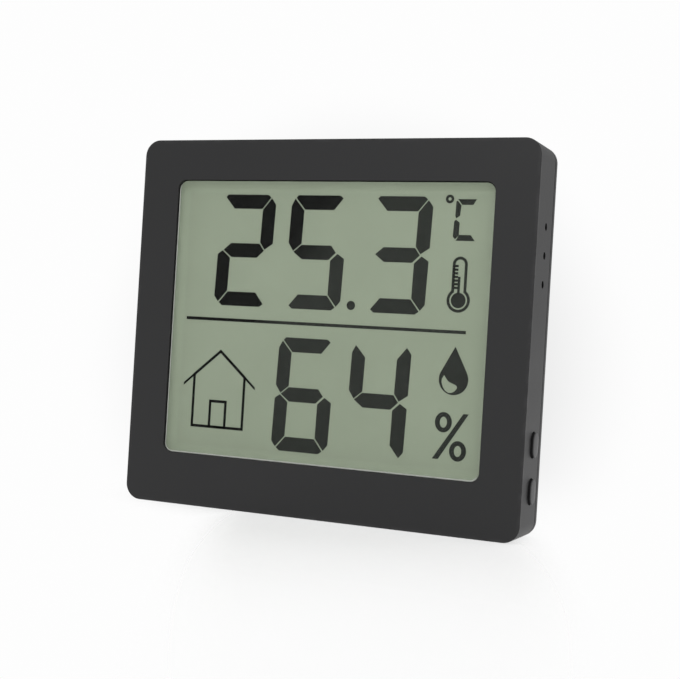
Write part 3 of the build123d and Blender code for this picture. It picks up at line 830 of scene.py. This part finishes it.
def buildScrews(name, spec, material):
    s = screwShape
    lengths = {"Head Radius": spec["head"], "Head Height": spec["height"], "Shank Radius": spec["shank"],
               "Shank Length": spec["seat"] - spec["tip"], "Cross Length": s["crossLength"],
               "Cross Width": s["crossWidth"], "Cross Depth": s["crossDepth"]}
    values = {label: length * mm for label, length in lengths.items()}
    values |= {"Vertices": s["vertices"], "Seed": spec["seed"], "Material": material}
    points = [(x, spec["seat"], z) for x, z in spec["points"]]
    return smooth(grownFrom(panScrews, name, values, points), 30)


for part, name, steel in (("case", "caseScrews", "black_steel"), ("board", "boardScrews", "plated_steel")):
    piece = buildScrews(name, screwShape[part], finish[steel])
    fitOut(piece, "case", steel, finish[steel], part + "_screws")
print("screws built")

# display

lensShape = {
    "plate": (-25.8, 25.8, 4.8, 49.7), "plateRadius": 0.05, "back": -3.5, "front": -4,
    "raised": (-24.78, 24.78, 7.74, 48.68), "raisedRadius": 1.28, "top": -4.25, "bevel": 0.22, "fall": 0.12,
    "cornerSteps": 10,
    "level": 0.95,   # a face whose normal has at least this share of depth counts as level
}


def buildLens():
    s = lensShape
    steps = s["cornerSteps"]
    edge = s["top"] + s["fall"]
    piece = lofted("displayLens", [
        cornerRing(s["plate"], s["plateRadius"], s["back"], steps),
        cornerRing(s["plate"], s["plateRadius"], s["front"], steps),
        cornerRing(s["raised"], s["raisedRadius"], s["front"], steps),
        cornerRing(s["raised"], s["raisedRadius"], edge, steps),
        cornerRing(grown(s["raised"], -s["bevel"]), s["raisedRadius"] - s["bevel"], s["top"], steps),
    ])
    # the lens's cut edge carries the painted highlight
    for material in (finish["lens_acrylic"], paintedLensHighlight, lensBorder):
        piece.data.materials.append(material)
    for face in piece.data.polygons:
        depth = face.center.y / mm
        level = abs(face.normal.y) > s["level"]
        if not level and depth < edge:
            face.material_index = 1
        elif not level and depth < s["front"] or level and abs(depth - s["front"]) < touch:
            face.material_index = 2
    return smooth(piece, 20)


fitOut(buildLens(), "case", "lens_acrylic", None, "window_lens")

displayShape = {
    "glass": (-25.4, 25.4, 7.2, 49.3), "glassFront": -3.49, "glassBack": -2.99,
    "panel": (-25.78, 25.78, 7.2, 49.68), "panelFront": -3.03, "panelBack": -3,
    "plateRadius": 0.05, "plateSteps": 6,
    "markFront": -3.05, "markBack": -3.01, "bolder": 0.035,
    # a segment's level and upright edges go out by one amount, its slanted ones, at the gaps, in by another
    "segmentOut": 0.05, "segmentIn": 0.015, "slant": 0.0297,
    "digits": (("2", -13.716, 38.505), ("5", -2.086, 38.505), ("3", 10.814, 38.505), ("6", -2.776, 17.655),
               ("4", 8.874, 17.655)),
    "segments": {"2": "abged", "5": "afgcd", "3": "abgcd", "6": "afgedc", "4": "fgbc"},
    # each segment about the digit's middle, before the slant
    "outlines": {
        "a": ((-3.9, 7.93), (-3.58, 8.255), (3.22, 8.255), (3.675, 7.915), (2.385, 6.255), (-2.39, 6.255)),
        "f": ((-4.475, 6.86), (-4.01, 7.82), (-2.475, 6.155), (-2.475, 1.16), (-3.7, 0.12), (-4.475, 1.22)),
        "b": ((4.475, 6.95), (3.78, 7.83), (2.475, 6.155), (2.475, 1.14), (3.2, 0.16), (4.475, 1.02)),
        "g": ((-3.645, 0), (-2.5, 1), (2.4, 1), (3.17, 0.02), (2.125, -1), (-2.285, -1)),
        "c": ((4.475, -7), (3.86, -7.78), (2.475, -6.155), (2.42, -1.08), (3.42, -0.1), (4.475, -0.75)),
        "d": ((-3.7, -7.86), (-3.22, -8.255), (3.22, -8.255), (3.72, -7.88), (2.385, -6.255),
              (-2.385, -6.255)),
        "e": ((-4.475, -7), (-3.84, -7.76), (-2.475, -6.155), (-2.475, -1.08), (-3.75, -0.06),
              (-4.475, -0.58)),
    },
}

iconShape = {
    "degree": (17.93, 46.50, 0.575, 0.27),
    "letter": (((19.19, 46.47), (21.78, 46.47), (21.35, 45.75), (19.78, 45.75)),
               ((18.93, 46.15), (18.88, 44.15), (19.01, 43.87), (19.5, 44.21), (19.63, 45.61),
                (19.09, 46.24)),
               ((18.98, 43.6), (18.77, 43.37), (18.69, 41.29), (18.98, 40.97), (19.48, 41.44), (19.5, 43.22)),
               ((19.14, 40.75), (21.8, 40.75), (21.22, 41.5), (19.61, 41.5))),
    "point": (3.92, 31.06, 0.625),
    "divider": (-22.93, 21.35, 27.86, 28.25),
    "bulb": (19.99, 32.45), "bulbRadius": 1.66, "bulbWall": 0.34, "bulbFill": 1.04,
    "tubeTop": 38.50, "tubeRadius": 1.06, "tubeWall": 0.34,
    "mercury": (19.80, 20.10, 33.35, 35.70),
    "ticks": 7, "tickLow": 34.05, "tickPitch": 0.505, "tickHeight": 0.26, "tickEnd": 19.74,
    "dropTip": (20.02, 25.97), "dropCentre": (20.00, 21.47), "dropRadius": 2.11,
    "dropShine": ((18.6, 22.1), (18.26, 21.5), (18.24, 20.97), (18.47, 20.35), (18.83, 19.83), (19.36, 19.55),
                  (19.88, 19.6), (20.29, 19.86), (20.58, 20.25), (20.6, 20.54), (20.4, 20.75), (19.88, 20.95),
                  (19.36, 21.14), (18.96, 21.58)),
    "percentRings": ((18.9, 15.49), (21.2, 11.63)), "ringOuter": (1.2, 1.38), "ringInner": (0.56, 0.8),
    "percentBar": ((21.75, 16.8), (22.44, 16.8), (18.37, 10.37), (17.58, 10.37)),
    # the walls' line ends a little below the top of the roof
    "houseRoof": ((-22.75, 18.1), (-16.75, 23.3), (-10.75, 18.1)), "houseWalls": (-21, -12.5, 11.9),
    "houseTop": 23.28, "houseDoor": (-18.05, -15.45, 15.75), "houseLine": 0.34,
}


def arcPoints(cx, cz, radiusX, radiusZ, start, end, steps):
    angles = [math.radians(start + (end - start) * k / steps) for k in range(steps + 1)]
    return [(cx + radiusX * math.cos(angle), cz + radiusZ * math.sin(angle)) for angle in angles]


def ovalLoop(cx, cz, radiusX, radiusZ):
    return arcPoints(cx, cz, radiusX, radiusZ, 0, 360, 36)[:-1]


def boxLoop(x0, x1, z0, z1):
    return [(x0, z0), (x1, z0), (x1, z1), (x0, z1)]


def spread(points, level, slanted):
    # a closed outline, its level and upright edges moved outwards by one amount, its slanted ones by another
    turn = sum(points[k - 1][0] * point[1] - point[0] * points[k - 1][1] for k, point in enumerate(points))
    lines = []
    for k, point in enumerate(points):
        along = Vector(points[(k + 1) % len(points)]) - Vector(point)
        normal = Vector((along.y, -along.x)).normalized() * math.copysign(1, turn)
        out = slanted if min(abs(along.x), abs(along.y)) > 0.1 else level
        lines.append((normal, normal.dot(Vector(point)) + out))
    loop = []
    for k, (normal, reach) in enumerate(lines):
        # where the moved edge meets the one before it
        before, start = lines[k - 1]
        cross = before.x * normal.y - before.y * normal.x
        x = (start * normal.y - reach * before.y) / cross
        loop.append((x, (before.x * reach - normal.x * start) / cross))
    return loop


def strokeLoops(points, width):
    # the outer and inner outline of a closed line of even width
    return [spread(points, width / 2, width / 2), spread(points, -width / 2, -width / 2)]


def thermometerLoops():
    # one outline round the bulb and the tube and a second one inside, what fills them, and the ticks
    s = iconShape
    bx, bz = s["bulb"]

    def outline(bulb, tube):
        angle = math.degrees(math.asin(tube / bulb))
        tubeEnd = arcPoints(bx, s["tubeTop"] - s["tubeRadius"], tube, tube, 0, 180, 20)
        return arcPoints(bx, bz, bulb, bulb, 90 + angle, 450 - angle, 40) + tubeEnd

    icons = [[outline(s["bulbRadius"], s["tubeRadius"]),
              outline(s["bulbRadius"] - s["bulbWall"], s["tubeRadius"] - s["tubeWall"])],
             [ovalLoop(bx, bz, s["bulbFill"], s["bulbFill"])], [boxLoop(*s["mercury"])]]
    wall = bx - s["tubeRadius"] + s["tubeWall"] / 2
    for k in range(s["ticks"]):
        low = s["tickLow"] + k * s["tickPitch"]
        icons.append([boxLoop(wall, s["tickEnd"], low, low + s["tickHeight"])])
    return icons


def houseLoops():
    # walls under a wide roof, with a door
    s = iconShape
    (leftX, eaveZ), (topX, topZ), (rightX, _) = s["houseRoof"]
    x0, x1, foot = s["houseWalls"]
    wallZ = eaveZ + (topZ - eaveZ) / (topX - leftX) * (x0 - leftX)
    walls = [(x0, foot), (x1, foot), (x1, wallZ), (topX, s["houseTop"]), (x0, wallZ)]
    icons = [strokeLoops(walls, s["houseLine"])]
    half = s["houseLine"] / 2
    for eave, wall in ((leftX, x0), (rightX, x1)):
        ends = ((eave, eaveZ - half), (wall, wallZ - half), (wall, wallZ + half), (eave, eaveZ + half))
        icons.append([list(ends)])
    d0, d1, doorTop = s["houseDoor"]
    icons.append(strokeLoops(boxLoop(d0, d1, foot, doorTop), s["houseLine"]))
    return icons


def iconLoops():
    # every small sign as a list of outlines; a second outline in a list is a hole
    s = iconShape
    cx, cz, outside, inside = s["degree"]
    icons = [[ovalLoop(cx, cz, outside, outside), ovalLoop(cx, cz, inside, inside)]]
    icons += [[list(points)] for points in s["letter"]]
    cx, cz, radius = s["point"]
    icons += [[ovalLoop(cx, cz, radius, radius)], [boxLoop(*s["divider"])]]
    icons += thermometerLoops()

    # drop: a round bottom with straight sides to the tip
    dx, dz = s["dropCentre"]
    radius = s["dropRadius"]
    lean = math.degrees(math.acos(radius / (s["dropTip"][1] - dz)))
    bottom = arcPoints(dx, dz, radius, radius, 90 + lean, 450 - lean, 40)
    icons.append([[s["dropTip"]] + bottom, list(s["dropShine"])])
    for cx, cz in s["percentRings"]:
        icons.append([ovalLoop(cx, cz, *s["ringOuter"]), ovalLoop(cx, cz, *s["ringInner"])])
    icons.append([list(s["percentBar"])])
    return icons + houseLoops()


def fillPlate(bm, loops):
    # a thin plate inside the first outline, with a hole for each other one
    front, back = displayShape["markFront"], displayShape["markBack"]
    edges = []
    for loop in loops:
        verts = [bm.verts.new(shift((x, front, z))) for x, z in loop]
        edges += [bm.edges.new((verts[k - 1], verts[k])) for k in range(len(verts))]
    filled = bmesh.ops.triangle_fill(bm, edges=edges, use_beauty=True)
    faces = [g for g in filled["geom"] if isinstance(g, bmesh.types.BMFace)]
    solid = bmesh.ops.extrude_face_region(bm, geom=faces)
    moved = [g for g in solid["geom"] if isinstance(g, bmesh.types.BMVert)]
    bmesh.ops.translate(bm, verts=moved, vec=(0, (back - front) * mm, 0))


def buildMarks():
    s = displayShape
    bm = bmesh.new()
    for sign, cx, cz in s["digits"]:
        for letter in s["segments"][sign]:
            outline = spread(s["outlines"][letter], s["segmentOut"], -s["segmentIn"])
            fillPlate(bm, [[(cx + x + z * s["slant"], cz + z) for x, z in outline]])
    bold = s["bolder"]
    for outline, *holes in iconLoops():
        fillPlate(bm, [spread(outline, bold, bold)] + [spread(hole, -bold, -bold) for hole in holes])
    bmesh.ops.recalc_face_normals(bm, faces=bm.faces)
    return plainPiece(bm, "displayMarks")


def buildPlate(name, box, front, back):
    s = displayShape
    rings = [cornerRing(box, s["plateRadius"], depth, s["plateSteps"]) for depth in (front, back)]
    return lofted(name, rings)


d = displayShape
fitOut(buildPlate("displayGlass", d["glass"], d["glassFront"], d["glassBack"]), "case", "display_glass",
       finish["display_glass"], "front_polarizer", "lcd_front_glass")
fitOut(buildMarks(), "case", "display_glass", markMaterial)
fitOut(buildPlate("displayPanel", d["panel"], d["panelFront"], d["panelBack"]), "case", "display_glass",
       panelMaterial)
print("display built")

# studio

studio = {
    "cameraPlace": (76.393, -172.998, 25.781), "cameraTurn": (90.097, -3.4231, 23.4794),
    "lens": 68.23, "sensor": 36, "clip": (5, 20000),
    # strengths of the world: seen straight, as light, and in mirrors
    "backdrop": 0.985, "ambient": 0.86, "mirrored": 0.62,
    "floorLevel": -0.02, "floorHalf": 3000, "floorTone": 0.89, "floorRoughness": 0.9,
    # where the floor shows its own shade: a long oval on it, full inside a share of its radii and weaker from
    # the case on, and a round patch behind the case
    "shadeCentre": (-4.1, 31.5, 0), "shadeTurn": 21.6, "shadeRadii": (26.7, 179.5, 1000),
    "shadeFullShare": 0.67, "shadeOut": -45, "shadeAtCase": 0.3,
    "patchCentre": (-8, 20, 0), "patchNear": 10, "patchReach": 38, "patchShare": 0.7,
    # painted shadow on the backdrop, a faint grey round one direction: the cosines where it starts and is
    # full, its depth, and how far down it reaches
    "paintedShadowAim": (-0.3793, 0.9250, -0.0204), "paintedShadowStart": 0.97553, "paintedShadowFull": 0.98978, "paintedShadowDepth": 0.13,
    "paintedShadowLow": -0.14, "paintedShadowHigh": -0.085,
    # place, aim, width, height, power in watts
    "lamps": {
        "sideLamp": ((320, 200, 160), (0, 0, 27), 200, 200, 0.16),
        "topLamp": ((-150, 130, 460), (0, 0, 27), 260, 260, 0.36),
        "cornerLamp": ((20, -110, 120), (31, -4.5, 54.8), 30, 30, 0.028),
    },
}


def buildCamera():
    s = studio
    camera = bpy.data.objects.new("camera", bpy.data.cameras.new("camera"))
    camera.location = shift(s["cameraPlace"])
    camera.rotation_euler = Euler([math.radians(a) for a in s["cameraTurn"]], "XYZ")
    camera.data.lens = s["lens"]
    camera.data.sensor_width = s["sensor"]
    near, far = s["clip"]
    camera.data.clip_start = near * mm
    camera.data.clip_end = far * mm
    bpy.context.scene.collection.objects.link(camera)
    bpy.context.scene.camera = camera


def buildLamps():
    for name, (spot, aim, width, height, power) in studio["lamps"].items():
        lamp = bpy.data.objects.new(name, bpy.data.lights.new(name, "AREA"))
        lamp.data.shape = "RECTANGLE"
        lamp.data.size = width * mm
        lamp.data.size_y = height * mm
        lamp.data.energy = power
        lamp.location = shift(spot)
        lamp.rotation_euler = (shift(aim) - lamp.location).to_track_quat("-Z", "Y").to_euler()
        bpy.context.scene.collection.objects.link(lamp)


# the backdrop's plain tone, with a painted shadow round one direction
def backdropLevel(tree):
    s = studio
    direction = addNode(tree, "ShaderNodeTexCoord").outputs["Generated"]
    along = vectorNode(tree, "DOT_PRODUCT", direction, s["paintedShadowAim"], output="Value")
    share = rangeNode(tree, along, s["paintedShadowStart"], s["paintedShadowFull"], kind="LINEAR")
    paintedShadow = times(tree, mathNode(tree, "POWER", share, 2), s["paintedShadowDepth"])
    paintedShadow = times(tree, paintedShadow, rangeNode(tree, split(tree, direction)[2], s["paintedShadowLow"], s["paintedShadowHigh"]))
    return times(tree, minus(tree, 1, paintedShadow), s["backdrop"])


def buildWorld():
    s = studio
    world = bpy.data.worlds.new("studio")
    bpy.context.scene.world = world
    world.use_nodes = True
    tree = world.node_tree
    rays = addNode(tree, "ShaderNodeLightPath").outputs
    seen = mathNode(tree, "MAXIMUM", rays["Is Camera Ray"], rays["Is Transmission Ray"])
    level = rangeNode(tree, rays["Is Glossy Ray"], 0, 1, s["ambient"], s["mirrored"], kind="LINEAR")
    level = rangeNode(tree, seen, 0, 1, level, backdropLevel(tree), kind="LINEAR")
    feed(tree, tree.nodes["Background"].inputs, {"Strength": level, "Color": (1, 1, 1, 1)})


def floorShade(tree):
    # how much of its own shade the floor shows
    s = studio
    place = objectPlace(tree)
    oval = addNode(tree, "ShaderNodeMapping", {
        "Vector": place, "Location": shift(s["shadeCentre"]), "Scale": shift(s["shadeRadii"]),
        "Rotation": (0, 0, math.radians(s["shadeTurn"]))}, vector_type="TEXTURE").outputs[0]
    oval = vectorNode(tree, "LENGTH", oval, output="Value")
    oval = rangeNode(tree, oval, s["shadeFullShare"], 1, 1, 0)
    depth = split(tree, place)[1]
    weaker = rangeNode(tree, depth, s["shadeOut"] * mm, 0, 1, s["shadeAtCase"], kind="LINEAR")
    away = vectorNode(tree, "DISTANCE", place, shift(s["patchCentre"]), output="Value")
    back = rangeNode(tree, away, s["patchNear"] * mm, s["patchReach"] * mm, s["patchShare"], 0)
    return mathNode(tree, "MAXIMUM", times(tree, oval, weaker), back)


def buildFloor():
    s = studio
    bm = bmesh.new()
    half, low = s["floorHalf"], s["floorLevel"]
    bm.faces.new([bm.verts.new(shift((x, y, low))) for x, y in boxLoop(-half, half, -half, half)])
    floor = meshPiece(bm, "floor")
    material, tree, shader = blank("paleFloor")
    feed(tree, shader.inputs, {"Base Color": (s["floorTone"],) * 3 + (1,), "Roughness": s["floorRoughness"],
                               "Specular IOR Level": 0})
    # away from the shade the backdrop shows through, and mirrors see its plain tone
    rays = addNode(tree, "ShaderNodeLightPath").outputs
    away = minus(tree, 1, floorShade(tree))
    glow = addNode(tree, "ShaderNodeEmission", {"Strength": s["backdrop"]}).outputs[0]
    clear = addNode(tree, "ShaderNodeBsdfTransparent").outputs[0]
    mixed = mixShader(tree, times(tree, rays["Is Glossy Ray"], away), shader.outputs[0], glow)
    seen = mathNode(tree, "MAXIMUM", rays["Is Camera Ray"], rays["Is Transmission Ray"])
    mixed = mixShader(tree, times(tree, seen, away), mixed, clear)
    tree.links.new(mixed, tree.nodes["Material Output"].inputs["Surface"])
    floor.data.materials.append(material)


buildCamera()
buildLamps()
buildWorld()
buildFloor()
bpy.context.scene.view_settings.view_transform = "Standard"
print("studio built")
